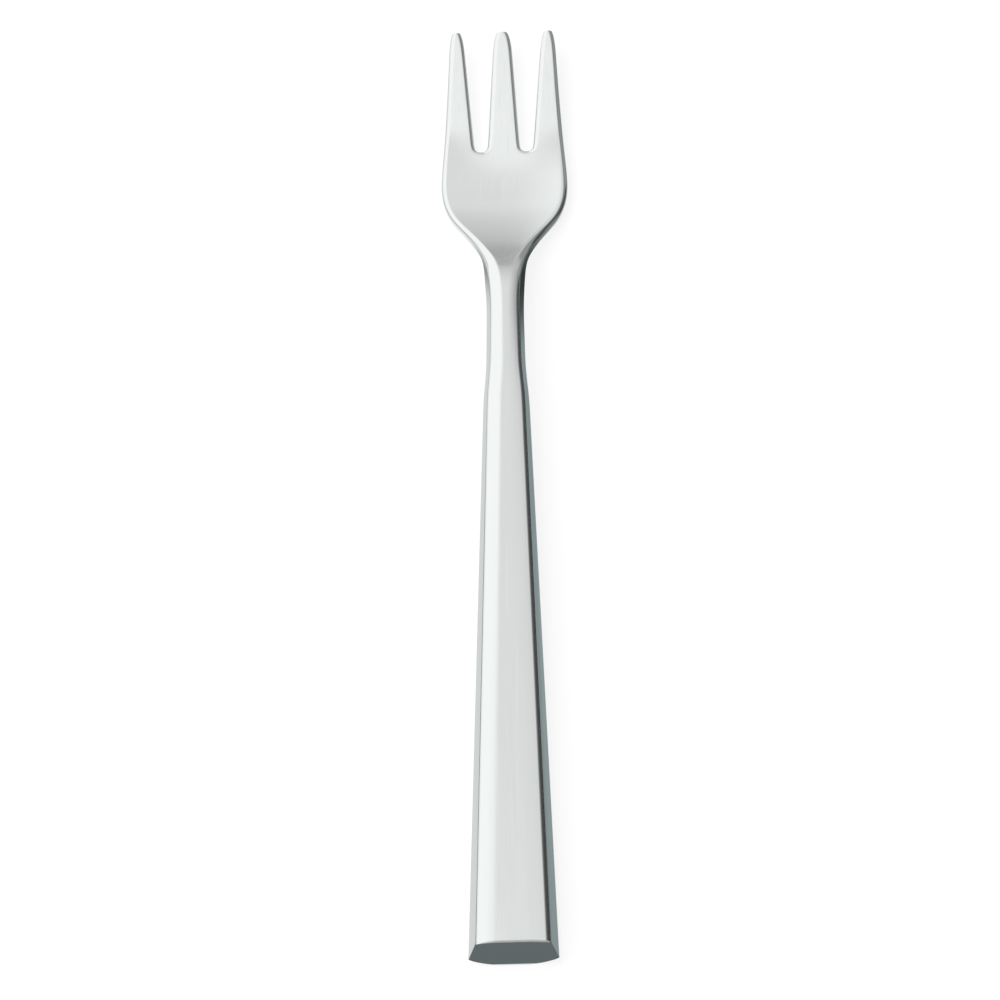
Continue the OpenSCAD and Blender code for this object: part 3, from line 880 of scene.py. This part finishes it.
def toneAt(tones, y):  # read between the two nearest of a card's tones
    for (start, first), (end, last) in zip(tones, tones[1:]):
        if start <= y < end:
            return mix(first, last, (y - start) / (end - start))
    return tones[0][1] if y < tones[0][0] else tones[-1][1]


def addPaintedReflection(name, points, faces, colours):
    mesh = bpy.data.meshes.new(name)
    mesh.from_pydata([[c * mm for c in point] for point in points], [], faces)
    shade = mesh.color_attributes.new("tone", "FLOAT_COLOR", "POINT")
    for place, colour in zip(shade.data, colours):
        place.color = colour
    card = bpy.data.objects.new(name, mesh)
    bpy.context.scene.collection.objects.link(card)
    material, tree = newMaterial(name)
    tone = addNode(tree, "ShaderNodeVertexColor", {}, layer_name="tone")
    paint = addNode(tree, "ShaderNodeEmission", {"Color": tone.outputs["Color"]})
    addNode(tree, "ShaderNodeOutputMaterial", {"Surface": paint.outputs["Emission"]})
    mesh.materials.append(material)
    # the card glows with its tone and is hidden from all but the metal's reflections: a painted
    # reflection
    card.visible_camera = False
    card.visible_diffuse = False
    card.visible_transmission = False
    card.visible_shadow = False


cardY = [-cardReach] + [cardStep * i for i in range(int(overall / cardStep) + 1)]
cardY.append(overall + cardReach)
for name, card in paintedReflectionCards.items():
    points = []
    colours = []
    for y in cardY:
        tone = toneAt(card["tones"], y)
        for off in (card["near"], card["far"]):
            points.append((card["side"] * (outlineHalf(y) + off), y - overall / 2, cardHeight))
            colours.append([tone * c for c in card["tint"]] + [1.0])
    faces = [(2 * i, 2 * i + 1, 2 * i + 3, 2 * i + 2) for i in range(len(cardY) - 1)]
    addPaintedReflection(name, points, faces, colours)
# two plain glowing cards that only the metal sees, placed in mm from the middle of the fork: one lies
# before the butt and darkens the cut end as a painted reflection of shade, and one stands past the
# tips on the right as a grey painted reflection
plainPaintedReflectionCards = {
    "frontPaintedShadeCard": {"tone": 0.17, "tint": cool,
                  "corners": [(-30, -120, 0.3), (30, -120, 0.3), (30, -75, 0.3), (-30, -75, 0.3)]},
    "headPaintedReflectionCard": {"tone": 0.35, "tint": neutral,
                 "corners": [(60, 72, 0.3), (60, 160, 0.3), (60, 160, 70), (60, 72, 70)]},
}
for name, card in plainPaintedReflectionCards.items():
    colour = [card["tone"] * c for c in card["tint"]] + [1.0]
    addPaintedReflection(name, card["corners"], [(0, 1, 2, 3)], [colour] * 4)

softbox = {"size": 0.9, "watts": 5.0, "place": (-0.55, 0.2, 1.1)}  # metres
lampData = bpy.data.lights.new("softbox", "AREA")
lampData.shape = "SQUARE"
lampData.size = softbox["size"]
lampData.energy = softbox["watts"]
lamp = bpy.data.objects.new("softbox", lampData)
lamp.location = softbox["place"]
lamp.rotation_mode = "QUATERNION"
lamp.rotation_quaternion = (-Vector(lamp.location)).to_track_quat("-Z", "Y")
lamp.visible_glossy = False  # the tent's bright side already stands for it in the metal
bpy.context.scene.collection.objects.link(lamp)
bpy.context.scene.view_settings.view_transform = "Standard"
print("stage made")

print("done")
